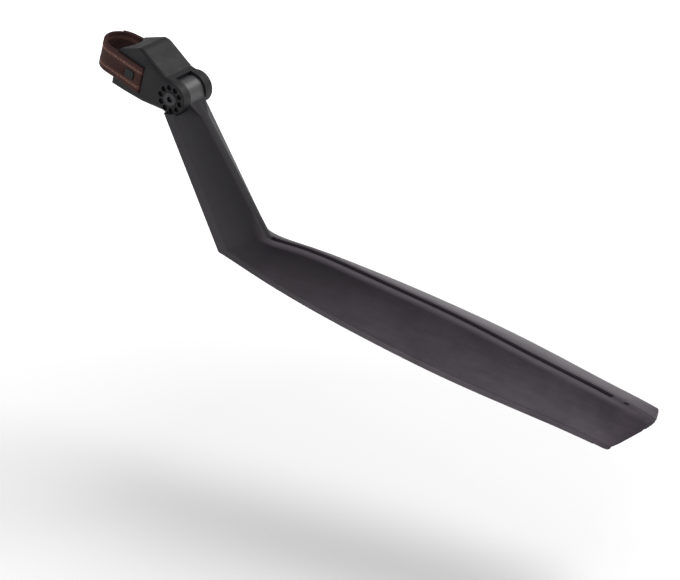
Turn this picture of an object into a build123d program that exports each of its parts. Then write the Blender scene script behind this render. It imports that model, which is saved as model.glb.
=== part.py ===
from build123d import *
import os
from math import acos, atan2, cos, degrees, dist, hypot, radians, remainder, sin, tan, tau

# Clip-on rear mudguard in millimetres. The origin is on the clamp's axis at the strap's middle,
# +X points to the rear, +Y to the right and +Z up.

# Round that the bracket and its strap close on, and the lean of its axis
CLAMP_D = 30.9
CLAMP_LEAN = 15.2
SADDLE_GAP = 0.05

# Bracket, rearward of the clamp's axis and up along it
BRACKET_W = 41.0
WING_FRONT = 7.0
WING_TOP = 14.6
SADDLE_TOP = 26.2
SADDLE_BACK = 28.0
CREST_BACK = 33.0
CREST_TOP = 26.4
SHOULDER_BACK = 60.0
SHOULDER_TOP = 13.8
BODY_BOTTOM = -19.5
KEEL_BACK = 42.0
BODY_EDGE_R = 5.0
BODY_ROUND_SHARE = 0.6
BODY_CORNER_SHARE = 0.9
CREST_R = 10.0
CREST_ROUND_SHARE = 0.6
SADDLE_CORNER_R = 6.0
SADDLE_ROUND_SHARE = 0.35
WING_CORNER_R = 6.0
KEEL_R = 12.0

# Pivot between bracket and blade
PIVOT_BACK = 70.3
PIVOT_UP = -1.4
EAR_R = 14.5
EAR_EDGE = 1.0
KNUCKLE_R = 12.5
KNUCKLE_W = 20.6
EAR_GAP = 0.3
FORK_GAP = 0.8
FORK_HOOD = 5.5
EAR_SWEEP_GAP = 0.7
BOLT_R = 3.0
BOLT_RUN_GAP = 0.05
BOLT_HOLE_GAP = 0.15
HEAD_R = 6.4
HEAD_H = 3.4
HEAD_PROUD = 0.9
HEAD_EDGE = 0.6
HEAD_SEAT_GAP = 0.25
SOCKET_AF = 5.0
SOCKET_DEPTH = 2.4
NUT_AF = 10.0
NUT_H = 5.0
NUT_SEAT_GAP = 0.15
NUT_BORE_GAP = 0.02
NUT_INSET = 0.8
RECESS_COUNT = 10
RECESS_RING_R = 10.3
RECESS_R = 2.5
RECESS_DEPTH = 2.5

# Strap
STRAP_W = 25.0
STRAP_T = 2.0
STRAP_GAP = 0.1
STRAP_SLOT_BACK = 36.0
STRAP_SLOT_HALF = 19.4
STRAP_TAB_T = 1.8
STRAP_TAB_BACK = 29.0
STRAP_TAB_ANGLE = 35.0
SLOT_ROOM = 0.5

# Lug on the near flank that a window in the strap drops over
LUG_BACK = 25.0
LUG_LEN = 9.5
LUG_H = 7.5
LUG_CORNER_R = 1.6
LUG_ROOT = 2.0
LUG_PROUD = 0.5
LUG_GAP = 0.4

# Neck, from the pivot down to the fold
NECK_DROP = 61.4
NECK_LEN = 126.5
NECK_FRONT_X = -4.5
NECK_FRONT_Z = -11.7
SECTION_TILT = 20.0
NECK_TOP_HALF = 24.0
NECK_TOP_RISE = 19.6
FOLD_HALF = 30.5
FOLD_RISE = 32.5
NECK_ROOT_LEN = 16.0
GUSSET_LEN = 14.0
GUSSET_SINK = 0.3

# Blade, from the fold to the tail
BLADE_DROP = 9.3
BLADE_LEN = 396.0
BLADE_RISE = 27.0
BLADE_DIP = 2.9
TAIL_RISE = 24.0
TAIL_TILT = 31.0
BLADE_MAX_HALF = 49.5
TAIL_HALF = 40.8
TAIL_CORNER_R = 6.5
TAIL_TIP_R = 30.0
TAIL_TRIM = 1.0

# Sections between the fold and the tail: share of the length, of the swell to the widest half-width,
# of the turn square to the blade, of the rise, and of the change from the neck's form to the blade's
BLADE_SECTIONS = (
    (0.07, 0.08, 0.50, 1.00, 0.5),
    (0.13, 0.31, 0.72, 0.93, 0.8),
    (0.24, 0.63, 0.99, 0.96, 1.0),
    (0.36, 0.85, 1.00, 0.99, 1.0),
    (0.48, 0.97, 1.00, 1.02, 1.0),
    (0.60, 1.00, 1.00, 1.01, 1.0),
    (0.74, 0.86, 1.00, 0.92, 1.0),
    (0.88, 0.64, 0.85, 0.86, 1.0),
)

# Shell of the neck and the blade
WALL = 2.4
FOLD_WALL = 3.8
RIDGE_HALF = 4.2
BLADE_RIDGE_HALF = 6.2
RIDGE_FALL = 0.5
BLADE_RIDGE_FALL = 1.1
WING_SAG = 0.8
BLADE_WING_SAG = 1.6
BROW_R = 2.0
CROWN_R = 3.5
LIP_H = 8.0
BLADE_LIP_H = 4.6
LIP_INSET = 1.8
BLADE_LIP_INSET = 0.9
KEEL_HALF = 7.5
KEEL_DEPTH = 7.0
GROOVE_HALF = 2.5
GROOVE_DEPTH = 4.0
GROOVE_START = 3.0
GROOVE_END = 343.0
DIMPLE_R = 2.2
DIMPLE_DEPTH = 0.8
DIMPLE_BACK = 15.0

os.makedirs("parts", exist_ok=True)

CLAMP_R = CLAMP_D / 2
SADDLE_R = CLAMP_R + SADDLE_GAP
EAR_IN = KNUCKLE_W / 2 + EAR_GAP
EAR_OUT = BRACKET_W / 2


def lean(shape):
    """Turns a shape from the upright clamp axis to the leaning one."""
    return Rot(0, CLAMP_LEAN, 0) * shape


def leaned(back, up):
    """Place of a bracket point in the mudguard's own X and Z."""
    a = radians(CLAMP_LEAN)
    return back * cos(a) + up * sin(a), up * cos(a) - back * sin(a)


PIVOT_X, PIVOT_Z = leaned(PIVOT_BACK, PIVOT_UP)


def across(radius, y0, y1):
    """Cylinder along Y at the upright bracket's pivot."""
    return Pos(PIVOT_BACK, (y0 + y1) / 2, PIVOT_UP) * Rot(90, 0, 0) * Cylinder(radius, y1 - y0)


# Strap loop seen along the clamp's axis: a round front, and on each side a straight run to the slot
strap_in = SADDLE_R + STRAP_GAP
strap_out = strap_in + STRAP_T
run = hypot(STRAP_SLOT_BACK, STRAP_SLOT_HALF)
touch = degrees(atan2(STRAP_SLOT_HALF, STRAP_SLOT_BACK) + acos(strap_in / run))


def on_circle(radius, angle):
    return radius * cos(radians(angle)), radius * sin(radians(angle))


def loop_face(radius, back, half):
    """Closed loop outline with a round front of one radius and a straight back."""
    top = on_circle(radius, touch)
    bottom = on_circle(radius, -touch)
    with BuildSketch() as sk:
        with BuildLine():
            ThreePointArc(top, (-radius, 0), bottom)
            Polyline(bottom, (back, -half), (back, half), top)
        make_face()
    return sk.sketch


def side_offset(distance):
    """Corner of the strap's side run moved outward by a distance."""
    a = radians(touch)
    slope = (STRAP_SLOT_HALF - strap_in * sin(a)) / (STRAP_SLOT_BACK - strap_in * cos(a))
    return distance * hypot(1, slope), slope


def on_flank(gap, inward, outward):
    """Rounded block on the near flank, a gap larger all round than the lug."""
    slope = side_offset(0)[1]
    flank_y = STRAP_SLOT_HALF + (LUG_BACK - STRAP_SLOT_BACK) * slope
    flank = Plane(origin=(LUG_BACK, -flank_y, 0), x_dir=(1, -slope, 0), z_dir=(-slope, -1, 0))
    outline = RectangleRounded(LUG_LEN + 2 * gap, LUG_H + 2 * gap, LUG_CORNER_R + gap)
    return extrude(flank.offset(-inward) * outline, inward + outward)


def round_corner(sketch, point, radius):
    """Rounds the corner of a sketch that is nearest to a point."""
    fillet(sketch.vertices().sort_by_distance(point)[0], radius)


def fitting_radius(radius, before, corner, after, share):
    """Radius of a corner, limited to what a share of its shorter side leaves room for."""
    ahead = atan2(corner[1] - before[1], corner[0] - before[0])
    turned = atan2(after[1] - corner[1], after[0] - corner[0])
    turn = abs(remainder(turned - ahead, tau))
    side = min(dist(before, corner), dist(corner, after))
    return min(radius, share * side / tan(turn / 2))


# Bracket
def build_bracket():
    rear_low = (PIVOT_BACK, PIVOT_UP - EAR_R)
    rear_top = (PIVOT_BACK, PIVOT_UP + EAR_R)
    shoulder = (SHOULDER_BACK, SHOULDER_TOP)
    crest = (CREST_BACK, CREST_TOP)
    saddle = (SADDLE_BACK, SADDLE_TOP)
    wing = (WING_FRONT, WING_TOP)
    with BuildSketch(Plane.XZ) as side:
        with BuildLine():
            Polyline(
                (WING_FRONT, BODY_BOTTOM),
                (KEEL_BACK, BODY_BOTTOM),
                rear_low,
                rear_top,
                shoulder,
                crest,
                saddle,
                wing,
                close=True,
            )
        make_face()
        crest_r = fitting_radius(CREST_R, shoulder, crest, saddle, CREST_ROUND_SHARE)
        saddle_r = fitting_radius(SADDLE_CORNER_R, crest, saddle, wing, SADDLE_ROUND_SHARE)
        round_corner(side, crest, crest_r)
        round_corner(side, saddle, saddle_r)
        round_corner(side, wing, WING_CORNER_R)
        round_corner(side, (KEEL_BACK, BODY_BOTTOM), KEEL_R)
    body = extrude(side.sketch, EAR_OUT, both=True)
    outline = [e for f in body.faces().filter_by(Axis.Y) for e in f.edges()]
    edge_r = fitting_radius(BODY_EDGE_R, rear_low, rear_top, shoulder, BODY_ROUND_SHARE)
    tightest = min(crest_r, saddle_r, WING_CORNER_R, KEEL_R)
    body = fillet(outline, min(edge_r, BODY_CORNER_SHARE * tightest))
    ears = across(EAR_R, -EAR_OUT, EAR_OUT)
    body += chamfer(ears.edges().filter_by(GeomType.CIRCLE), EAR_EDGE)

    step, slope = side_offset(STRAP_GAP)
    tip = STRAP_SLOT_HALF - step + (WING_FRONT - STRAP_SLOT_BACK) * slope
    slot_side = STRAP_SLOT_HALF - step
    behind = STRAP_SLOT_BACK + STRAP_T + SLOT_ROOM
    reach = PIVOT_BACK + 2 * EAR_R
    with BuildSketch() as plan:
        with BuildLine():
            Polyline(
                (WING_FRONT, -tip),
                (STRAP_SLOT_BACK, -slot_side),
                (behind, -slot_side),
                (behind + EAR_OUT - slot_side, -EAR_OUT),
                (reach, -EAR_OUT),
                (reach, EAR_OUT),
                (behind + EAR_OUT - slot_side, EAR_OUT),
                (behind, slot_side),
                (STRAP_SLOT_BACK, slot_side),
                (WING_FRONT, tip),
                close=True,
            )
        make_face()
    tall = 4 * CREST_TOP
    body &= extrude(plan.sketch, tall, both=True)
    body -= Cylinder(SADDLE_R, 2 * tall)

    # Fork for the knuckle: a round bed in front of it, open behind the hood
    body -= across(KNUCKLE_R + FORK_GAP, -EAR_IN, EAR_IN)
    fork_x = PIVOT_BACK - FORK_HOOD
    fork_len = reach - fork_x
    body -= Pos(fork_x + fork_len / 2, 0, PIVOT_UP) * Box(fork_len, 2 * EAR_IN, 2 * tall)

    # Slot for the strap, straight across
    slot_t = STRAP_T + SLOT_ROOM
    slot_h = STRAP_W + 2 * SLOT_ROOM
    body -= Pos(STRAP_SLOT_BACK + slot_t / 2 - STRAP_GAP, 0, 0) * Box(slot_t, 2 * BRACKET_W, slot_h)

    # Bolt hole, head seat, nut pocket and the ring of recesses
    body -= across(BOLT_R + BOLT_HOLE_GAP, -BRACKET_W, BRACKET_W)
    body -= across(HEAD_R + HEAD_SEAT_GAP, -BRACKET_W, -EAR_OUT + HEAD_H - HEAD_PROUD)
    nut_seat = EAR_OUT - NUT_H - NUT_INSET
    pocket = RegularPolygon(NUT_AF / 2 + NUT_SEAT_GAP, 6, major_radius=False)
    body -= Pos(PIVOT_BACK, nut_seat, PIVOT_UP) * Rot(-90, 0, 0) * extrude(pocket, BRACKET_W)
    for k in range(RECESS_COUNT):
        x, z = on_circle(RECESS_RING_R, 360 * k / RECESS_COUNT)
        body -= Pos(x, 0, z) * across(RECESS_R, -BRACKET_W, -EAR_OUT + RECESS_DEPTH)
    return body + on_flank(0, LUG_ROOT, STRAP_T + LUG_PROUD)


# Strap with a window over the lug and its free end laid back over the far side
def build_strap():
    step, slope = side_offset(STRAP_T)
    loop = loop_face(strap_out, STRAP_SLOT_BACK + STRAP_T, STRAP_SLOT_HALF + step + STRAP_T * slope)
    loop -= loop_face(strap_in, STRAP_SLOT_BACK, STRAP_SLOT_HALF)
    strap = Pos(0, 0, -STRAP_W / 2) * extrude(loop, STRAP_W)
    tab_out = strap_out + STRAP_TAB_T
    fold_step, slope = side_offset(STRAP_T + STRAP_TAB_T)
    cover_back = STRAP_SLOT_BACK + STRAP_T
    cover = loop_face(tab_out, cover_back, STRAP_SLOT_HALF + fold_step + STRAP_T * slope)
    cover -= loop_face(strap_out - STRAP_T / 2, cover_back, STRAP_SLOT_HALF + step / 2)
    far_end = on_circle(3 * tab_out, touch + STRAP_TAB_ANGLE)
    with BuildSketch() as window:
        with BuildLine():
            Polyline(
                (0, 0),
                (STRAP_TAB_BACK, 0),
                (STRAP_TAB_BACK, 3 * tab_out),
                (far_end[0], 3 * tab_out),
                far_end,
                close=True,
            )
        make_face()
    tab = Pos(0, 0, -STRAP_W / 2) * extrude(cover & window.sketch, STRAP_W)
    return strap + tab - on_flank(LUG_GAP, STRAP_T, 2 * STRAP_T)


# Bolt with its head on the near side, and the nut in the far ear
def build_bolt():
    head_face = -EAR_OUT - HEAD_PROUD
    nut_seat = EAR_OUT - NUT_H - NUT_INSET
    shank = across(BOLT_R, head_face + HEAD_H / 2, nut_seat + NUT_H)
    head = across(HEAD_R, head_face, head_face + HEAD_H)
    rim = head.edges().sort_by(Axis.Y)[0]
    head = chamfer(rim, HEAD_EDGE)
    socket = extrude(RegularPolygon(SOCKET_AF / 2, 6, major_radius=False), SOCKET_DEPTH)
    return head + shank - Pos(PIVOT_BACK, head_face, PIVOT_UP) * Rot(-90, 0, 0) * socket


def build_nut():
    nut_seat = EAR_OUT - NUT_H - NUT_INSET
    hexagon = extrude(RegularPolygon(NUT_AF / 2, 6, major_radius=False), NUT_H)
    nut = Pos(PIVOT_BACK, nut_seat, PIVOT_UP) * Rot(-90, 0, 0) * hexagon
    return nut - across(BOLT_R + NUT_BORE_GAP, 0, BRACKET_W)


# Stations of the shell: the front edge's place, the tilt of the section and its sizes
def down(x, z, distance, drop):
    a = radians(drop)
    return x + distance * cos(a), z - distance * sin(a)


def ridge_of(place, tilt, rise):
    a = radians(tilt)
    return place[0] + rise * cos(a), place[1] + rise * sin(a)


def station(place, tilt, half, rise, wall, blade):
    """Sizes of one roof section, from the neck's at 0 to the blade's at 1."""
    def mix(neck_size, blade_size):
        return neck_size + (blade_size - neck_size) * blade
    ridge_x, ridge_z = ridge_of(place, tilt, rise)
    return {
        "crest": (ridge_x, 0, ridge_z),
        "plane": Plane(origin=(place[0], 0, place[1]), x_dir=(0, 1, 0),
                       z_dir=(sin(radians(tilt)), 0, -cos(radians(tilt)))),
        "half": half,
        "rise": rise,
        "wall": wall,
        "ridge": mix(RIDGE_HALF, BLADE_RIDGE_HALF),
        "fall": mix(RIDGE_FALL, BLADE_RIDGE_FALL),
        "sag": mix(WING_SAG, BLADE_WING_SAG),
        "lip": mix(LIP_H, BLADE_LIP_H),
        "inset": mix(LIP_INSET, BLADE_LIP_INSET),
    }


def wing(start, end, sag):
    """Middle point of a wing that hangs a little below its chord."""
    length = hypot(end[0] - start[0], end[1] - start[1])
    mx = (start[0] + end[0]) / 2
    my = (start[1] + end[1]) / 2
    side = 1 if end[0] > start[0] else -1
    return mx + side * sag * (end[1] - start[1]) / length, my - side * sag * (end[0] - start[0]) / length


def mirrored(point):
    return -point[0], point[1]


def outer_points(s):
    foot = (s["half"], 0)
    brow = (s["half"] - s["inset"], s["lip"])
    crown = (s["ridge"], s["rise"] - s["fall"])
    return foot, brow, crown


def round_roof(sketch, brow, crown):
    """Softens the roof's outer corners on both sides."""
    for point, radius in ((brow, BROW_R), (crown, CROWN_R)):
        round_corner(sketch, point, radius)
        round_corner(sketch, mirrored(point), radius)


def shell_face(s):
    """Roof section with its wall, lips and the keel under the ridge."""
    foot, brow, crown = outer_points(s)
    top = (0, s["rise"])
    pitch = atan2(crown[1] - brow[1], brow[0] - crown[0])
    drop = s["wall"] / cos(pitch)
    in_foot = (foot[0] - s["wall"], 0)
    in_brow = (brow[0] - s["wall"], brow[1] - drop + s["wall"] * tan(pitch))
    in_crown = (KEEL_HALF, crown[1] - drop - (KEEL_HALF - crown[0]) * tan(pitch))
    keel = (KEEL_HALF, s["rise"] - max(KEEL_DEPTH, s["rise"] - in_crown[1] + WALL / 2))
    mid_out = wing(brow, crown, s["sag"])
    mid_in = wing(in_brow, in_crown, s["sag"])
    with BuildSketch(s["plane"]) as sk:
        with BuildLine():
            Polyline(foot, brow)
            ThreePointArc(brow, mid_out, crown)
            Polyline(crown, top, mirrored(crown))
            ThreePointArc(mirrored(crown), mirrored(mid_out), mirrored(brow))
            Polyline(mirrored(brow), mirrored(foot), mirrored(in_foot), mirrored(in_brow))
            ThreePointArc(mirrored(in_brow), mirrored(mid_in), mirrored(in_crown))
            Polyline(mirrored(in_crown), mirrored(keel), keel, in_crown)
            ThreePointArc(in_crown, mid_in, in_brow)
            Polyline(in_brow, in_foot, foot)
        make_face()
        round_roof(sk, brow, crown)
    return sk.sketch


def filled_face(s):
    """The same roof section without its hollow."""
    foot, brow, crown = outer_points(s)
    top = (0, s["rise"])
    mid_out = wing(brow, crown, s["sag"])
    with BuildSketch(s["plane"]) as sk:
        with BuildLine():
            Polyline(foot, brow)
            ThreePointArc(brow, mid_out, crown)
            Polyline(crown, top, mirrored(crown))
            ThreePointArc(mirrored(crown), mirrored(mid_out), mirrored(brow))
            Polyline(mirrored(brow), mirrored(foot), foot)
        make_face()
        round_roof(sk, brow, crown)
    return sk.sketch


def gusset_face(s, width, below):
    """Plain section from the front edge's line to a little below the ridge."""
    tall = s["rise"] - below
    return s["plane"] * Pos(0, tall / 2) * Rectangle(width, tall)


neck_top = (PIVOT_X + NECK_FRONT_X, PIVOT_Z + NECK_FRONT_Z)
fold = down(neck_top[0], neck_top[1], NECK_LEN, NECK_DROP)
BLADE_UPRIGHT = 90 - BLADE_DROP


def neck_station(t):
    place = down(neck_top[0], neck_top[1], NECK_LEN * t, NECK_DROP)
    half = NECK_TOP_HALF + (FOLD_HALF - NECK_TOP_HALF) * t
    rise = NECK_TOP_RISE + (FOLD_RISE - NECK_TOP_RISE) * t
    wall = WALL + (FOLD_WALL - WALL) * t
    return station(place, SECTION_TILT, half, rise, wall, 0)


def blade_station(t, swell, tilt, rise, blade):
    """Blade section at a fraction of its length, its half-width a share of the way to the widest."""
    line_x, line_z = down(fold[0], fold[1], BLADE_LEN * t, BLADE_DROP)
    place = (line_x, line_z - (BLADE_DIP if t else 0))
    half = FOLD_HALF + (BLADE_MAX_HALF - FOLD_HALF) * swell
    wall = FOLD_WALL + (WALL - FOLD_WALL) * blade
    return station(place, tilt, half, rise, wall, blade)


TAIL_SWELL = (TAIL_HALF - FOLD_HALF) / (BLADE_MAX_HALF - FOLD_HALF)
blade_stations = [blade_station(0, 0, SECTION_TILT, FOLD_RISE, 0)]
for share, swell, turn_share, rise_share, form in BLADE_SECTIONS:
    tilt = turn_share * BLADE_UPRIGHT
    blade_stations.append(blade_station(share, swell, tilt, rise_share * BLADE_RISE, form))
blade_stations.append(blade_station(1, TAIL_SWELL, TAIL_TILT, TAIL_RISE, 1))


def groove_tool():
    """Groove that follows the blade's ridge, with its round end and the dimple behind it."""
    ridge = Spline([s["crest"] for s in blade_stations])
    path = ridge.trim(GROOVE_START / ridge.length, GROOVE_END / ridge.length)
    start = Plane(origin=path @ 0, x_dir=(0, 1, 0), z_dir=path % 0)
    tool = sweep(start * Rectangle(2 * GROOVE_HALF, 2 * GROOVE_DEPTH), path)
    end = Plane(origin=path @ 1, x_dir=path % 1, z_dir=Vector(0, -1, 0).cross(path % 1))
    tool += end * Cylinder(GROOVE_HALF, 2 * GROOVE_DEPTH)
    spot = (GROOVE_END + DIMPLE_BACK) / ridge.length
    mark = Plane(origin=ridge @ spot, x_dir=ridge % spot, z_dir=Vector(0, -1, 0).cross(ridge % spot))
    return tool + mark * Cylinder(DIMPLE_R, 2 * DIMPLE_DEPTH)


def tail_tool():
    """What lies behind the rounded tail, seen from above."""
    edge = Spline([(s["plane"].origin.X, s["half"]) for s in blade_stations])
    corner = edge @ 1
    ahead = corner - (edge % 1) * 2 * TAIL_CORNER_R
    tip = (blade_stations[-1]["crest"][0] - TAIL_TRIM, 0)
    clear = 2 * BLADE_MAX_HALF
    behind = tip[0] + clear
    with BuildSketch() as sk:
        with BuildLine():
            Polyline(
                (ahead.X, ahead.Y),
                (corner.X, corner.Y),
                tip,
                (corner.X, -corner.Y),
                (ahead.X, -ahead.Y),
                (ahead.X, -clear),
                (behind, -clear),
                (behind, clear),
                (ahead.X, clear),
                close=True,
            )
        make_face()
        round_corner(sk, (corner.X, corner.Y), TAIL_CORNER_R)
        round_corner(sk, (corner.X, -corner.Y), TAIL_CORNER_R)
        round_corner(sk, tip, TAIL_TIP_R)
    return extrude(sk.sketch, 2 * BLADE_LEN, both=True)


def build_blade():
    root_end = neck_station(NECK_ROOT_LEN / NECK_LEN)
    root = loft([filled_face(neck_station(0)), filled_face(root_end)], ruled=True)
    neck = loft([shell_face(root_end), shell_face(neck_station(1))], ruled=True)
    body = loft([shell_face(s) for s in blade_stations])
    guard = root + neck + body

    # Groove along the blade's ridge, with a round end and a dimple behind it
    guard -= groove_tool()

    # Tail edge with its rounded corners
    guard -= tail_tool()

    # Ears sweep past the neck's top, and its lips stand beside them below the ring of recesses
    ear_side = EAR_OUT + EAR_GAP
    for side in (-1, 1):
        for radius, inner, outer in (
            (EAR_R + EAR_SWEEP_GAP, KNUCKLE_W / 2, ear_side),
            (RECESS_RING_R + RECESS_R, ear_side, BRACKET_W),
        ):
            near, far = sorted((side * inner, side * outer))
            guard -= lean(across(radius, near, far))

    # Knuckle, with a tongue from its back to the neck and a gusset that narrows into the ridge
    ridge_top = ridge_of(neck_top, SECTION_TILT, NECK_TOP_RISE - RIDGE_FALL)
    reach = hypot(ridge_top[0] - PIVOT_X, ridge_top[1] - PIVOT_Z)
    turn = degrees(atan2(ridge_top[1] - PIVOT_Z, ridge_top[0] - PIVOT_X) + acos(KNUCKLE_R / reach))
    tx, tz = on_circle(KNUCKLE_R, turn)
    with BuildSketch(Plane.XZ) as tongue:
        with BuildLine():
            Polyline(
                (PIVOT_X, PIVOT_Z),
                (PIVOT_X + tx, PIVOT_Z + tz),
                ridge_top,
                neck_top,
                close=True,
            )
        make_face()
    guard += extrude(tongue.sketch, KNUCKLE_W / 2, both=True)
    gusset_end = neck_station(GUSSET_LEN / NECK_LEN)
    guard += loft([
        gusset_face(neck_station(0), KNUCKLE_W, RIDGE_FALL),
        gusset_face(gusset_end, 2 * RIDGE_HALF, RIDGE_FALL + GUSSET_SINK),
    ])
    guard += lean(across(KNUCKLE_R, -KNUCKLE_W / 2, KNUCKLE_W / 2))
    guard -= lean(across(BOLT_R + BOLT_RUN_GAP, -KNUCKLE_W, KNUCKLE_W))
    return guard


export_step(lean(build_bracket()), "parts/bracket.step")
export_step(lean(build_strap()), "parts/strap.step")
export_step(lean(build_bolt()), "parts/pivot_bolt.step")
export_step(lean(build_nut()), "parts/pivot_nut.step")
export_step(build_blade(), "parts/blade.step")
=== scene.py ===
# %% [markdown]
# A clip-on rear mudguard. A moulded bracket with a hollow front is held by a webbing strap, and a long
# roof-shaped blade hangs from the bracket on one pivot bolt.
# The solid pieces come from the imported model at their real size, so this lesson is about how they look:
# the camera and the light first, then plastic, steel, webbing and thread.

# %% Load the frame
import math

import bpy
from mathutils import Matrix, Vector


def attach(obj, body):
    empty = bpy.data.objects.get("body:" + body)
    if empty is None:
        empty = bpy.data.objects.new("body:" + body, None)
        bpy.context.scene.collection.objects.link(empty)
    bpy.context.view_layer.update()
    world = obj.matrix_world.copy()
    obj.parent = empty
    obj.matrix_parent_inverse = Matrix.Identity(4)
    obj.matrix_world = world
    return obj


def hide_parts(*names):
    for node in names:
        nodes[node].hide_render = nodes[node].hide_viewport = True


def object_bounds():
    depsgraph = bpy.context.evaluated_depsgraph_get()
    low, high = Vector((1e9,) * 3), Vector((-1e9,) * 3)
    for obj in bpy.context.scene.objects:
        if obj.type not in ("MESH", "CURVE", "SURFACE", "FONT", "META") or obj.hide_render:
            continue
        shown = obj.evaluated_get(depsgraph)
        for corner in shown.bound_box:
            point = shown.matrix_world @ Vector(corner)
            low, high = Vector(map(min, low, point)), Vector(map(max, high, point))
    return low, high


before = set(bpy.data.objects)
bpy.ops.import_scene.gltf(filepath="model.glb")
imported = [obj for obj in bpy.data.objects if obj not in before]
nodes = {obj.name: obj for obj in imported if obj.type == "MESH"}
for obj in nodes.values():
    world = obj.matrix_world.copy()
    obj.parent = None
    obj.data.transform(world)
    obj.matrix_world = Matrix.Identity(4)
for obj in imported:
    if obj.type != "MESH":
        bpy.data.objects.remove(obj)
cad_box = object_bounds()
scene = bpy.context.scene
scene.view_settings.view_transform = "Standard"
MM = 0.001
print("loaded", sorted(nodes), "box in mm", [[round(c / MM) for c in corner] for corner in cad_box])

# %% [markdown]
# The camera stands behind the mudguard on its left, above the blade, and looks down at it from far away.
# A long lens keeps the two edges of the blade almost parallel, as they are in the picture this follows.
# Giving the camera a point to look at and a direction is easier to read than three turn angles.

# %% Camera
IMAGE_W = 680
FOCAL_PX = 3276
SENSOR = 36
AZIMUTH, ELEVATION = math.radians(35), math.radians(25)
DISTANCE = 2.8
LOOK_AT = Vector((0.20184, 0.03718, -0.18297))

level = math.cos(ELEVATION)
towards = Vector((math.sin(AZIMUTH) * level, -math.cos(AZIMUTH) * level, math.sin(ELEVATION)))
lens = bpy.data.cameras.new("camera")
lens.sensor_width = SENSOR
lens.lens = FOCAL_PX * SENSOR / IMAGE_W
camera = bpy.data.objects.new("camera", lens)
camera.location = LOOK_AT + towards * DISTANCE
camera.rotation_euler = (-towards).to_track_quat("-Z", "Y").to_euler()
scene.collection.objects.link(camera)
scene.camera = camera
print("lens", round(lens.lens, 1), "mm at", [round(c, 3) for c in camera.location])

# %% [markdown]
# Colours are written as the sRGB hex values a painter would pick, but shaders work in linear light.
# One function turns them over. A second one adds a node: plain values go to its sockets, and sockets, or
# the first output of other nodes, get linked. Three short ones name what finishes do most: ramp lets a value
# rise or fall across a span, blend mixes two colours, calc works out a number. With those, each finish below
# reads like a recipe.

# %% Helpers for finishes


def srgb(text):
    """Linear colour of an sRGB hex value."""
    parts = [int(text[i:i + 2], 16) / 255 for i in (1, 3, 5)]
    linear = [c / 12.92 if c <= 0.04045 else ((c + 0.055) / 1.055) ** 2.4 for c in parts]
    return (*linear, 1.0)


def add(tree, kind, inputs=None, **settings):
    """Adds a node with its settings. An input takes a plain value, a socket or a node's first output."""
    node = tree.nodes.new(kind)
    for name, value in settings.items():
        setattr(node, name, value)
    for name, value in (inputs or {}).items():
        if isinstance(value, bpy.types.Node):
            value = next(out for out in value.outputs if out.enabled)
        if isinstance(value, bpy.types.NodeSocket):
            tree.links.new(value, node.inputs[name])
        else:
            node.inputs[name].default_value = value
    return node


def ramp(tree, value, span, low=0.0, high=1.0):
    """Runs from low to high while a value crosses a span."""
    return add(tree, "ShaderNodeMapRange", {
        "Value": value, "From Min": span[0], "From Max": span[1], "To Min": low, "To Max": high})


def blend(tree, factor, first, second, blend_type="MIX"):
    """Mixes two colours."""
    return add(tree, "ShaderNodeMix", {"Factor": factor, "A": first, "B": second},
               data_type="RGBA", blend_type=blend_type)


def calc(tree, operation, *values):
    """Works out a number from others."""
    return add(tree, "ShaderNodeMath", dict(enumerate(values)), operation=operation)


def new_finish(name, recipe):
    """A material whose shader sockets are filled by a recipe, which gets the tree to add nodes to."""
    material = bpy.data.materials.new(name)
    material.use_nodes = True
    material.node_tree.nodes.clear()
    shader = add(material.node_tree, "ShaderNodeBsdfPrincipled", recipe(material.node_tree))
    add(material.node_tree, "ShaderNodeOutputMaterial", {"Surface": shader})
    print("finish", name, "with", len(material.node_tree.nodes), "nodes")
    return material


def per_mm(size):
    """Noise scale, in object coordinates, of a pattern whose features are this many millimetres wide."""
    return 1000 / size


# %% [markdown]
# The floor is a large white sheet, low enough for the blade to tilt down without touching it. Away from
# the part, where the lamps fade, it is lifted to white for the camera and for mirrored rays only, so the
# background stays plain and the part gets no more light. Black plastic is mostly seen by what it mirrors,
# so the ceiling is darker, as it is in a studio: the near wing looks up into it and stays deep, the far wing
# mirrors the floor. A wide panel behind the part and a weaker one near the camera do the rest.

# %% Floor and light
MIDDLE = (cad_box[0] + cad_box[1]) / 2
FLOOR_SIZE = 12
TILT_ROOM = 130 * MM
CLOUD_ON_SHEET_MM = 400
GLOW_SPAN, GLOW = (0.2, 1.2), 0.55
CEILING_SPAN, SKY_LOW, SKY_HIGH = (0.1, 0.9), 1.0, 0.3


def white_sheet(tree):
    place = add(tree, "ShaderNodeTexCoord").outputs["Object"]
    cloud = add(tree, "ShaderNodeTexNoise", {"Vector": place, "Scale": per_mm(CLOUD_ON_SHEET_MM)})
    tone = blend(tree, cloud, srgb("#f8f8f8"), srgb("#fbfbfb"))
    away = add(tree, "ShaderNodeVectorMath", {0: place, 1: (MIDDLE.x, MIDDLE.y, 0)}, operation="DISTANCE")
    far = ramp(tree, away.outputs["Value"], GLOW_SPAN, 0.0, GLOW)
    ray = add(tree, "ShaderNodeLightPath").outputs
    seen = calc(tree, "MAXIMUM", ray["Is Camera Ray"], ray["Is Glossy Ray"])
    seen = calc(tree, "MAXIMUM", seen, ray["Is Transmission Ray"])
    lift = calc(tree, "MULTIPLY", far, seen)
    return {"Base Color": tone, "Roughness": 0.9, "Specular IOR Level": 0.1,
            "Emission Color": srgb("#ffffff"), "Emission Strength": lift}


bpy.ops.mesh.primitive_plane_add(size=FLOOR_SIZE)
floor = bpy.context.object
floor.name = "floor"
floor.location.z = cad_box[0].z - TILT_ROOM
floor.data.materials.append(new_finish("matt_white_backdrop", white_sheet))

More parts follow.
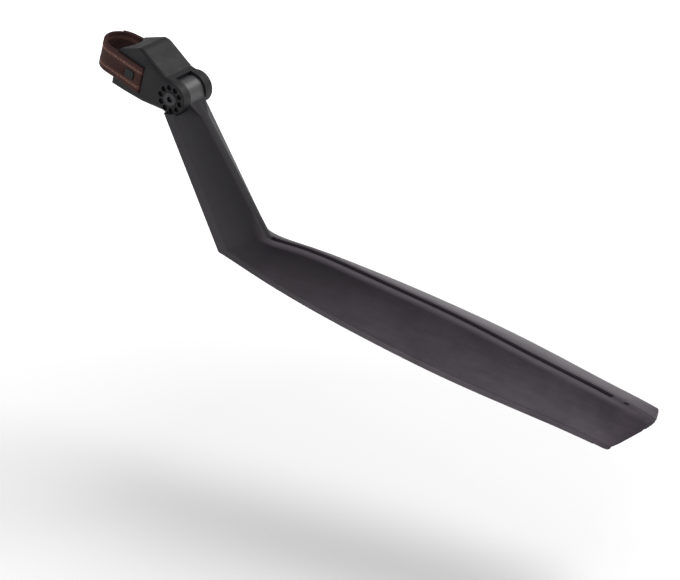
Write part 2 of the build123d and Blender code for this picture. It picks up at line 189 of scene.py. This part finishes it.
world = bpy.data.worlds.new("studio")
scene.world = world
world.use_nodes = True
sky = world.node_tree
sky.nodes.clear()
aim = add(sky, "ShaderNodeSeparateXYZ", {"Vector": add(sky, "ShaderNodeTexCoord").outputs["Generated"]})
ceiling = ramp(sky, aim.outputs["Z"], CEILING_SPAN, SKY_LOW, SKY_HIGH)
glow = add(sky, "ShaderNodeBackground", {"Color": srgb("#ffffff"), "Strength": ceiling})
add(sky, "ShaderNodeOutputWorld", {"Surface": glow})


def panel(name, offset, size, power):
    """A soft light panel that faces the middle of the part from an offset."""
    data = bpy.data.lights.new(name, "AREA")
    data.shape = "RECTANGLE"
    data.size, data.size_y = size
    data.energy = power
    lamp = bpy.data.objects.new(name, data)
    lamp.location = MIDDLE + Vector(offset)
    lamp.rotation_euler = (MIDDLE - lamp.location).to_track_quat("-Z", "Y").to_euler()
    scene.collection.objects.link(lamp)


panel("rear_panel", offset=(0.7, 1.2, 1.5), size=(1.6, 1.2), power=32)
panel("near_panel", offset=(-0.6, -1.9, 1.1), size=(1.2, 1.0), power=7)
panels = [thing.name for thing in scene.objects if thing.type == "LIGHT"]
print("floor at", round(floor.location.z, 4), "m, panels", panels)

# %% [markdown]
# The blade is injection-moulded polypropylene, coloured black right through. The mould was given a fine
# grain, so the surface is satin: broad soft highlights, no sharp ones. Its colour is painted paler towards
# the edges and the tail, in patches, as painted light. The ridge is duller than the edges, and so is the
# scuffed tip. Behind the fold a band beside the ridge is painted paler as a painted highlight, and so is the
# barrel that turns on the bolt. Grain goes in as bump, painted light as colour, and gloss that changes with
# the distance from the ridge; faint streaks along the blade show the way the plastic flowed into the mould.
# Grain this fine would vanish at the size of the picture, so it is drawn about twice as coarse as it is.

# %% Blade finish
GRAIN_MM = 0.9
PATCH_MM = 38
STREAK_MM, STREAK_STRETCH = 5, 0.05
PAINTED_LIGHT_ACROSS, PAINTED_LIGHT_ALONG = (8 * MM, 50 * MM), (60 * MM, 480 * MM)
RIDGE_TO_EDGE = 5 * MM, 50 * MM
FOLD_SPAN, TIP_SPAN = (140 * MM, 165 * MM), (490 * MM, 525 * MM)
LIP_HIGHLIGHT_AT, LIP_HIGHLIGHT_SPAN, LIP_HIGHLIGHT_SHARE = 5 * MM, (1 * MM, 4 * MM), 0.7
BARREL_AT = (67.5 * MM, 0, -19.8 * MM)
BARREL_RIM, BARREL_SIDE = (13 * MM, 14.5 * MM), (10.5 * MM, 12 * MM)
RIDGE_ROUGH, EDGE_ROUGH, TIP_ROUGH, BARREL_ROUGH = 0.78, 0.36, 0.75, 0.4
NECK_SHINE, RIDGE_SHINE, EDGE_SHINE, TIP_SHINE = 0.4, 0.15, 0.5, 0.1


def satin_polypropylene(tree):
    place = add(tree, "ShaderNodeTexCoord").outputs["Object"]
    grain = add(tree, "ShaderNodeTexNoise",
                {"Vector": place, "Scale": per_mm(GRAIN_MM), "Detail": 3.0, "Roughness": 0.6})
    patches = add(tree, "ShaderNodeTexNoise",
               {"Vector": place, "Scale": per_mm(PATCH_MM), "Detail": 5.0, "Roughness": 0.62})
    flow = add(tree, "ShaderNodeMapping", {"Vector": place, "Scale": (STREAK_STRETCH, 1.0, 1.0)})
    streak = add(tree, "ShaderNodeTexNoise", {"Vector": flow, "Scale": per_mm(STREAK_MM), "Detail": 3.0})
    axes = add(tree, "ShaderNodeSeparateXYZ", {"Vector": place}).outputs
    back, aside = axes["X"], calc(tree, "ABSOLUTE", axes["Y"])

    # Painted light: the colour is made paler towards the edges and the tail, broken into patches by noise.
    painted_light_out = ramp(tree, aside, PAINTED_LIGHT_ACROSS, 0.1, 0.8)
    painted_light_back = ramp(tree, back, PAINTED_LIGHT_ALONG, -0.35, 0.95)
    painted_light = calc(tree, "MULTIPLY", calc(tree, "ADD", painted_light_out, painted_light_back), patches)
    tone = blend(tree, painted_light, srgb("#1c191e"), srgb("#4d454d"))

    # Painted highlight: a band beside the ridge, from the fold to near the tip, is made paler.
    beside = calc(tree, "ABSOLUTE", calc(tree, "SUBTRACT", aside, LIP_HIGHLIGHT_AT))
    lip_highlight_strength = ramp(tree, back, FOLD_SPAN, 0.0, ramp(tree, back, TIP_SPAN, LIP_HIGHLIGHT_SHARE, 0.0))
    lip_highlight = ramp(tree, beside, LIP_HIGHLIGHT_SPAN, lip_highlight_strength, 0.0)
    tone = blend(tree, lip_highlight, tone, srgb("#5c565c"))

    # Painted highlight: the barrel between the ears is made paler; its lower roughness below is its own
    # gloss.
    side_on = add(tree, "ShaderNodeCombineXYZ", {"X": back, "Z": axes["Z"]})
    from_bolt = add(tree, "ShaderNodeVectorMath", {0: side_on, 1: BARREL_AT}, operation="DISTANCE")
    between = ramp(tree, aside, BARREL_SIDE, 1.0, 0.0)
    barrel = ramp(tree, from_bolt.outputs["Value"], BARREL_RIM, between, 0.0)
    tone = blend(tree, barrel, tone, srgb("#3a383a"))

    speck = ramp(tree, calc(tree, "ADD", grain, streak), (0.7, 1.3), 0.86, 1.14)
    mottle = blend(tree, 1.0, tone, speck, "MULTIPLY")
    gloss = ramp(tree, aside, RIDGE_TO_EDGE, RIDGE_ROUGH, ramp(tree, back, TIP_SPAN, EDGE_ROUGH, TIP_ROUGH))
    gloss = add(tree, "ShaderNodeMix", {"Factor": barrel, "A": gloss, "B": BARREL_ROUGH})
    ridge_shine = ramp(tree, back, FOLD_SPAN, NECK_SHINE, RIDGE_SHINE)
    edge_shine = ramp(tree, back, TIP_SPAN, EDGE_SHINE, TIP_SHINE)
    shine = ramp(tree, aside, RIDGE_TO_EDGE, ridge_shine, edge_shine)
    bump = add(tree, "ShaderNodeBump", {"Height": grain, "Strength": 0.35, "Distance": 0.12 * MM})
    return {"Base Color": mottle, "Roughness": gloss, "Specular IOR Level": shine, "Normal": bump,
            "IOR": 1.49}


blade_finish = new_finish("black_polypropylene_satin_moulded", satin_polypropylene)

# %% [markdown]
# The bracket carries the whole blade, so it is moulded from glass-filled nylon. Short glass fibres reach
# the surface and scatter the light: it is matt, with tiny pale flecks in nearly black plastic.

# %% Bracket finish
FIBRE_MM = 0.6
CLOUD_MM = 14
FLECK_SPAN = 0.55, 0.75
CLOUD_SPAN = 0.3, 0.7


def glass_filled_nylon(tree):
    place = add(tree, "ShaderNodeTexCoord").outputs["Object"]
    fibre = add(tree, "ShaderNodeTexNoise",
                {"Vector": place, "Scale": per_mm(FIBRE_MM), "Detail": 2.0, "Roughness": 0.7})
    cloud = add(tree, "ShaderNodeTexNoise", {"Vector": place, "Scale": per_mm(CLOUD_MM), "Detail": 3.0})
    base = blend(tree, cloud, srgb("#111012"), srgb("#1a191c"))
    tone = blend(tree, ramp(tree, fibre, FLECK_SPAN), base, srgb("#2b292d"))
    gloss = ramp(tree, cloud, CLOUD_SPAN, 0.52, 0.65)
    bump = add(tree, "ShaderNodeBump", {"Height": fibre, "Strength": 0.4, "Distance": 0.1 * MM})
    return {"Base Color": tone, "Roughness": gloss, "Specular IOR Level": 0.2, "Normal": bump, "IOR": 1.53}


bracket_finish = new_finish("black_glass_filled_nylon_matt", glass_filled_nylon)

# %% [markdown]
# Bolt and nut are steel with a black zinc coating. It is thin, so the metal still shines through it, broken
# up by the faint crystals of the coating. A metal keeps the default refraction and gets its look from
# colour, roughness and a little unevenness.

# %% Bolt and nut finish
CRYSTAL_MM = 0.8
CRYSTAL_SPAN = 0.0, 0.8
SMEAR_MM = 3


def black_zinc(tree):
    place = add(tree, "ShaderNodeTexCoord").outputs["Object"]
    crystal = add(tree, "ShaderNodeTexVoronoi", {"Vector": place, "Scale": per_mm(CRYSTAL_MM)})
    smear = add(tree, "ShaderNodeTexNoise", {"Vector": place, "Scale": per_mm(SMEAR_MM), "Detail": 4.0})
    tone = blend(tree, smear, srgb("#2e2d30"), srgb("#49484b"))
    gloss = ramp(tree, crystal, CRYSTAL_SPAN, 0.36, 0.5)
    bump = add(tree, "ShaderNodeBump", {"Height": crystal, "Strength": 0.2, "Distance": 0.05 * MM})
    return {"Base Color": tone, "Roughness": gloss, "Normal": bump, "Metallic": 1.0}


steel_finish = new_finish("black_zinc_plated_steel", black_zinc)

# %% Dress the solid pieces
dress = {"blade": blade_finish, "bracket": bracket_finish,
         "pivot_bolt": steel_finish, "pivot_nut": steel_finish}
for name, finish in dress.items():
    nodes[name].data.materials.clear()
    nodes[name].data.materials.append(finish)
print("dressed", ", ".join(dress))

# %% [markdown]
# The strap is brown nylon webbing, a flat tube of thick yarns. It closes round the front, runs along both
# flanks of the bracket and through its slot, drops over a lug on the near flank, and its free end lies over
# the far side. Its line is drawn upright here, seen from above, and leaned back later with the bracket.
# Only half of the loop is worked out: the other half is its mirror image.

# %% Line of the strap
LEAN = math.radians(15.2)
LOOP_R = 15.6 * MM
SLOT_BACK, SLOT_HALF = 36 * MM, 19.4 * MM
STRAP_W, STRAP_T, TAB_T = 25 * MM, 2 * MM, 1.8 * MM
TAB_BACK, TAB_ANGLE = 29 * MM, math.radians(35)
BEND_R = 1.3 * MM
BEND_STEPS, ROUND_STEPS, TAB_STEPS = 6, 28, 18
SEAM_HALF = 0.2 * MM

reach = math.hypot(SLOT_BACK, SLOT_HALF)
touch = math.atan2(SLOT_HALF, SLOT_BACK) + math.acos(LOOP_R / reach)
slope = (SLOT_HALF - LOOP_R * math.sin(touch)) / (SLOT_BACK - LOOP_R * math.cos(touch))


def flank(back, out):
    """Point of the far flank at a distance outside the strap's inner face."""
    return Vector((back, SLOT_HALF + out * math.hypot(1, slope) + slope * (back - SLOT_BACK), 0))


def round_front(start, end, steps, out):
    """Points of the round front between two angles."""
    angles = [start + (end - start) * k / steps for k in range(steps + 1)]
    return [Vector((math.cos(a), math.sin(a), 0)) * (LOOP_R + out) for a in angles]


def bend(start, corner, end):
    """Points of a small bend round a corner."""
    shares = [k / BEND_STEPS for k in range(BEND_STEPS + 1)]
    return [start.lerp(corner, t).lerp(corner.lerp(end, t), t) for t in shares]


def mirrored(points):
    """The same points on the near side, in the other order."""
    return [Vector((p.x, -p.y, p.z)) for p in reversed(points)]


def strap_loop(out):
    """Closed line of the strap, from the middle of the slot round the front and back."""
    corner = flank(SLOT_BACK + STRAP_T / 2, out)
    front = round_front(touch, math.pi, ROUND_STEPS, out)
    forward = (front[0] - corner).normalized() * BEND_R
    far = [Vector((corner.x, SEAM_HALF, 0))]
    far += bend(corner - Vector((0, BEND_R, 0)), corner, corner + forward)
    far += front
    return far + mirrored(far[:-1])


def strap_tab(out):
    """Open line of the free end, from beside the slot forward and round."""
    return [flank(TAB_BACK, out)] + round_front(touch, touch + TAB_ANGLE, TAB_STEPS, out)


print("strap closes at", round(LOOP_R / MM, 1), "mm, touching at", round(math.degrees(touch), 1), "degrees")

# %% [markdown]
# A strap is one section carried along a line, and Curve to Mesh is the node for that. The section is a little
# thicker at its two edges, where the yarns turn back. The tree keeps the distance along the line and across
# the section as a UV map in metres, so that the weave can be drawn at its real pitch. Before it leans the
# strap back, it cuts the window that drops over the lug: a bar with rounded corners, taken away.

# %% Section of the webbing and the tree that carries it
THICK = 1.85 * MM
WEB_SHARE = 0.86
EDGE_SHARE = 0.42
EDGE_ANGLES = (0.0, 0.5, 1.0, math.pi / 2)
BEAD_INNER, BEAD_OUTER = 4.0 * MM, 1.7 * MM
CORNER_STEPS = 4


def webbing_section():
    """Outline of the webbing: distance out from its middle, and height."""
    half, high, edge = THICK / 2, STRAP_W / 2, THICK * EDGE_SHARE
    web = half * WEB_SHARE
    upper = [(web, high - BEAD_INNER), (half, high - BEAD_OUTER)]
    upper += [(half - edge + edge * math.cos(a), high - edge + edge * math.sin(a)) for a in EDGE_ANGLES]
    right = [(x, -y) for x, y in reversed(upper)] + [(web, -high / 3), (web, high / 3)] + upper
    return [Vector((x, y, 0)) for x, y in right + [(-x, y) for x, y in reversed(right)]]


def new_tree(name, inputs):
    """A Geometry Nodes tree with named inputs, and the sockets that carry them."""
    tree = bpy.data.node_groups.new(name, "GeometryNodeTree")
    for label, kind in inputs.items():
        tree.interface.new_socket(label, in_out="INPUT", socket_type="NodeSocket" + kind)
    tree.interface.new_socket("Result", in_out="OUTPUT", socket_type="NodeSocketGeometry")
    return tree, add(tree, "NodeGroupInput").outputs


def end_tree(tree, geometry, finish):
    """Makes the result real and smooth, gives it its finish and hands it over."""
    real = add(tree, "GeometryNodeRealizeInstances", {"Geometry": geometry})
    smooth = add(tree, "GeometryNodeSetShadeSmooth", {"Geometry": real})
    dressed = add(tree, "GeometryNodeSetMaterial", {"Geometry": smooth, "Material": finish})
    add(tree, "NodeGroupOutput", {"Result": dressed})
    print("tree", tree.name, "with", len(tree.nodes), "nodes")


webbing, given = new_tree("webbing_along_line", {
    "Lines": "Geometry", "Section": "Object", "Lean": "Rotation", "Window Size": "Vector",
    "Window Corner": "Float", "Window Place": "Vector", "Window Turn": "Rotation", "Finish": "Material"})
upright = add(webbing, "GeometryNodeSetCurveNormal", {"Curve": given["Lines"]}, mode="Z_UP")
travelled = add(webbing, "GeometryNodeSplineParameter").outputs["Length"]
lines = add(webbing, "GeometryNodeStoreNamedAttribute",
            {"Geometry": upright, "Name": "along", "Value": travelled}, data_type="FLOAT", domain="POINT")
outline = add(webbing, "GeometryNodeObjectInfo", {"Object": given["Section"]}).outputs["Geometry"]
place = add(webbing, "GeometryNodeInputPosition")
height = add(webbing, "ShaderNodeSeparateXYZ", {"Vector": place}).outputs["Y"]
outline = add(webbing, "GeometryNodeStoreNamedAttribute",
              {"Geometry": outline, "Name": "across", "Value": height}, data_type="FLOAT", domain="POINT")
band = add(webbing, "GeometryNodeCurveToMesh", {"Curve": lines, "Profile Curve": outline, "Fill Caps": True})
along = add(webbing, "GeometryNodeInputNamedAttribute", {"Name": "along"}, data_type="FLOAT")
across = add(webbing, "GeometryNodeInputNamedAttribute", {"Name": "across"}, data_type="FLOAT")
laid_out = add(webbing, "ShaderNodeCombineXYZ", {"X": along, "Y": across})
band = add(webbing, "GeometryNodeStoreNamedAttribute",
           {"Geometry": band, "Name": "UVMap", "Value": laid_out}, data_type="FLOAT2", domain="CORNER")
size = add(webbing, "ShaderNodeSeparateXYZ", {"Vector": given["Window Size"]}).outputs
window = add(webbing, "GeometryNodeCurvePrimitiveQuadrilateral", {"Width": size["X"], "Height": size["Z"]})
window = add(webbing, "GeometryNodeFilletCurve",
             {"Curve": window, "Radius": given["Window Corner"], "Count": CORNER_STEPS}, mode="POLY")
deep = add(webbing, "ShaderNodeCombineXYZ", {"Y": size["Y"]})
bar = add(webbing, "GeometryNodeCurvePrimitiveLine", {"End": deep})
bar = add(webbing, "GeometryNodeCurveToMesh", {"Curve": bar, "Profile Curve": window, "Fill Caps": True})
bar = add(webbing, "GeometryNodeTransform",
          {"Geometry": bar, "Translation": given["Window Place"], "Rotation": given["Window Turn"]})
cut = add(webbing, "GeometryNodeMeshBoolean", {"Mesh 1": band, "Mesh 2": bar}, operation="DIFFERENCE")
leaned = add(webbing, "GeometryNodeTransform", {"Geometry": cut, "Rotation": given["Lean"]})
end_tree(webbing, leaned, given["Finish"])

# %% [markdown]
# Seen close, webbing is rows of plump yarns that dive under the weft and come up again, each row half a
# step behind the next. Two paler stripes are woven in, one near each edge. The UV map gives the place along
# and across the strap, so the yarns are drawn at their real pitch: one wave across the rows, one along them,
# shifted on every second row. Sheen stands in for the loose fibres on nylon yarn.

# %% Webbing finish
YARN_MM = 1.7
PICK_MM = 2.6
FUZZ_MM, FUZZ_SHARE = 0.7, 0.35
LIT_SPAN = 0.35, 1.05
STRIPE_AT, STRIPE_SPAN = 7.3 * MM, (1.2 * MM, 2 * MM)


def brown_webbing(tree):
    coords = add(tree, "ShaderNodeTexCoord").outputs
    weave = add(tree, "ShaderNodeSeparateXYZ", {"Vector": coords["UV"]}).outputs
    row = calc(tree, "MULTIPLY", weave["Y"], per_mm(YARN_MM))
    odd = calc(tree, "FLOORED_MODULO", calc(tree, "FLOOR", row), 2.0)
    shift = calc(tree, "MULTIPLY", odd, 0.5)
    step = calc(tree, "MULTIPLY_ADD", weave["X"], per_mm(PICK_MM), shift)
    across_wave, along_wave = calc(tree, "PINGPONG", row, 0.5), calc(tree, "PINGPONG", step, 0.5)
    plump = calc(tree, "ADD", across_wave, along_wave)
    fuzz = add(tree, "ShaderNodeTexNoise",
               {"Vector": coords["Object"], "Scale": per_mm(FUZZ_MM), "Detail": 4.0})
    yarn = calc(tree, "MULTIPLY_ADD", fuzz, FUZZ_SHARE, plump)
    # Painted shade: the yarn crests are made paler and the dips between them darker.
    lit = ramp(tree, yarn, LIT_SPAN)
    ground = blend(tree, lit, srgb("#201211"), srgb("#482b27"))
    pale = blend(tree, lit, srgb("#33211d"), srgb("#6a493f"))
    from_stripe = calc(tree, "SUBTRACT", calc(tree, "ABSOLUTE", weave["Y"]), STRIPE_AT)
    stripe = ramp(tree, calc(tree, "ABSOLUTE", from_stripe), STRIPE_SPAN, 1.0, 0.0)
    colour = blend(tree, stripe, ground, pale)
    bump = add(tree, "ShaderNodeBump", {"Height": yarn, "Strength": 0.8, "Distance": 0.4 * MM})
    return {"Base Color": colour, "Normal": bump, "Roughness": 0.78, "Specular IOR Level": 0.2,
            "Sheen Weight": 0.06, "Sheen Roughness": 0.45, "Sheen Tint": srgb("#a08078")}


webbing_finish = new_finish("brown_nylon_webbing_woven", brown_webbing)

# %% [markdown]
# A tree needs an object to run on, so the lines are put on one for a moment. What the tree makes of them is
# kept as a plain mesh, which is what the export needs, and the lines go again.

# %% Lay the strap
LUG_BACK = 25 * MM
WINDOW_SIZE = Vector((10.3, 8, 8.3)) * MM
WINDOW_CORNER = 2 * MM


def new_lines(name):
    """An empty curve object's data, for lines in space."""
    curve = bpy.data.curves.new(name, "CURVE")
    curve.dimensions = "3D"
    return curve


def line_on(curve, points, closed=False):
    """Adds a line through points to a curve."""
    spline = curve.splines.new("POLY")
    spline.points.add(len(points) - 1)
    for knot, point in zip(spline.points, points):
        knot.co = (*point, 1.0)
    spline.use_cyclic_u = closed


def lay_along(name, tree, curve, values):
    """Runs a tree on lines, keeps the result as a plain mesh and removes the lines."""
    maker = bpy.data.objects.new(name + "_lines", curve)
    scene.collection.objects.link(maker)
    modifier = maker.modifiers.new(name, "NODES")
    modifier.node_group = tree
    for item in tree.interface.items_tree:
        if item.in_out == "INPUT" and item.name in values:
            modifier[item.identifier] = values[item.name]
    made = maker.evaluated_get(bpy.context.evaluated_depsgraph_get())
    mesh = bpy.data.meshes.new_from_object(made)
    mesh.name = name
    mesh.materials.clear()
    mesh.materials.append(values["Finish"])
    mesh.polygons.foreach_set("material_index", [0] * len(mesh.polygons))
    bpy.data.objects.remove(maker)
    piece = bpy.data.objects.new(name, mesh)
    scene.collection.objects.link(piece)
    print(name, len(mesh.polygons), "faces in", [layer.name for layer in mesh.uv_layers])
    return piece


section_curve = new_lines("webbing_section")
line_on(section_curve, webbing_section(), closed=True)
section = bpy.data.objects.new("webbing_section", section_curve)
scene.collection.objects.link(section)
strap_lines = new_lines("strap_lines")
line_on(strap_lines, strap_loop(STRAP_T / 2), closed=True)
line_on(strap_lines, strap_tab(STRAP_T + TAB_T / 2))
lug = flank(LUG_BACK, STRAP_T / 2 + WINDOW_SIZE.y / 2)
strap = lay_along("strap_webbing", webbing, strap_lines, {
    "Section": section, "Lean": (0, LEAN, 0), "Window Size": WINDOW_SIZE, "Window Corner": WINDOW_CORNER,
    "Window Place": (lug.x, -lug.y, 0), "Window Turn": (0, 0, -math.atan(slope)), "Finish": webbing_finish})
bpy.data.objects.remove(section)
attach(strap, "clamp")
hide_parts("strap")

# %% [markdown]
# A row of thread runs along each stripe, and more of it sews the free end down. The thread is twisted from
# thin plies, which a slanting wave draws, and it has faded in patches.

# %% Thread finish
PLY_MM = 0.9
FADE_MM = 9


def polyester_thread(tree):
    place = add(tree, "ShaderNodeTexCoord").outputs["Object"]
    twist = add(tree, "ShaderNodeTexWave",
                {"Vector": place, "Scale": per_mm(PLY_MM) / math.tau, "Distortion": 2.0, "Detail": 2.0},
                bands_direction="DIAGONAL")
    ply = twist.outputs["Fac"]
    fade = add(tree, "ShaderNodeTexNoise", {"Vector": place, "Scale": per_mm(FADE_MM), "Detail": 3.0})
    colour = blend(tree, calc(tree, "MULTIPLY", ply, fade), srgb("#6d453b"), srgb("#b98474"))
    bump = add(tree, "ShaderNodeBump", {"Height": ply, "Strength": 0.5, "Distance": 0.15 * MM})
    return {"Base Color": colour, "Normal": bump, "Roughness": 0.6, "Sheen Weight": 0.2}


thread_finish = new_finish("russet_polyester_thread_twisted", polyester_thread)

# %% [markdown]
# A stitch is one small bead of thread, repeated along a line, which is just what Geometry Nodes are for:
# the line is cut into steps of one stitch, a bead is set on each step along the line's direction, each a
# touch different in length, and the beads are made real so that the export keeps them.

# %% Stitch tree
BEAD_SEGMENTS, BEAD_RINGS = 8, 6
SMALLEST, LARGEST = (0.9, 0.9, 0.9), (1.05, 1.05, 1.05)

stitching, given = new_tree("stitches_along_line", {
    "Lines": "Geometry", "Stitch Length": "Float", "Stitch Gap": "Float", "Thread": "Float",
    "Lean": "Rotation", "Seed": "Int", "Finish": "Material"})
pitch = calc(stitching, "ADD", given["Stitch Length"], given["Stitch Gap"])
steps = add(stitching, "GeometryNodeResampleCurve", {"Curve": given["Lines"], "Length": pitch}, mode="LENGTH")
tangent = add(stitching, "GeometryNodeInputTangent")
turn = add(stitching, "FunctionNodeAlignRotationToVector", {"Vector": tangent}, axis="X")
bead = add(stitching, "GeometryNodeMeshUVSphere",
           {"Segments": BEAD_SEGMENTS, "Rings": BEAD_RINGS, "Radius": 0.5})
uneven = add(stitching, "FunctionNodeRandomValue",
             {"Min": SMALLEST, "Max": LARGEST, "Seed": given["Seed"]}, data_type="FLOAT_VECTOR")
size = add(stitching, "ShaderNodeCombineXYZ",
           {"X": given["Stitch Length"], "Y": given["Thread"], "Z": given["Thread"]})
sized = add(stitching, "ShaderNodeVectorMath", {0: size, 1: uneven}, operation="MULTIPLY")
beads = add(stitching, "GeometryNodeInstanceOnPoints",
            {"Points": steps, "Instance": bead, "Rotation": turn, "Scale": sized})
leaned = add(stitching, "GeometryNodeTransform", {"Geometry": beads, "Rotation": given["Lean"]})
end_tree(stitching, leaned, given["Finish"])

# %% Lay the stitches
STITCH, STITCH_GAP, THREAD = 2.8 * MM, 0.6 * MM, 0.8 * MM
SEWN_IN = 0.32
SEAM_MARGIN = 2 * MM
CROSS_HALF = 6 * MM
TAB_MARGIN = math.radians(3)
STITCH_SEED = 7

loop_face = STRAP_T / 2 + THICK / 2 * WEB_SHARE + THREAD * (0.5 - SEWN_IN)
tab_face = loop_face + STRAP_T / 2 + TAB_T / 2
near_run = round_front(touch + TAB_ANGLE + TAB_MARGIN, math.tau - touch, 2 * ROUND_STEPS, loop_face)
near_run += mirrored([flank(SLOT_BACK - SEAM_MARGIN, loop_face)])
tab_run = [flank(TAB_BACK - SEAM_MARGIN, tab_face)]
tab_run += round_front(touch, touch + TAB_ANGLE - 2 * TAB_MARGIN, TAB_STEPS, tab_face)


def raised(points, up):
    """The same points, higher on the strap."""
    return [p + Vector((0, 0, up)) for p in points]


seams = new_lines("strap_seams")
for up in (-STRIPE_AT, STRIPE_AT):
    line_on(seams, raised(near_run, up))
    line_on(seams, raised(tab_run, up))
for end in (tab_run[0], tab_run[-1]):
    line_on(seams, raised([end], -CROSS_HALF) + raised([end], CROSS_HALF))
stitches = lay_along("strap_stitches", stitching, seams, {
    "Stitch Length": STITCH, "Stitch Gap": STITCH_GAP, "Thread": THREAD, "Lean": (0, LEAN, 0),
    "Seed": STITCH_SEED, "Finish": thread_finish})
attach(stitches, "clamp")
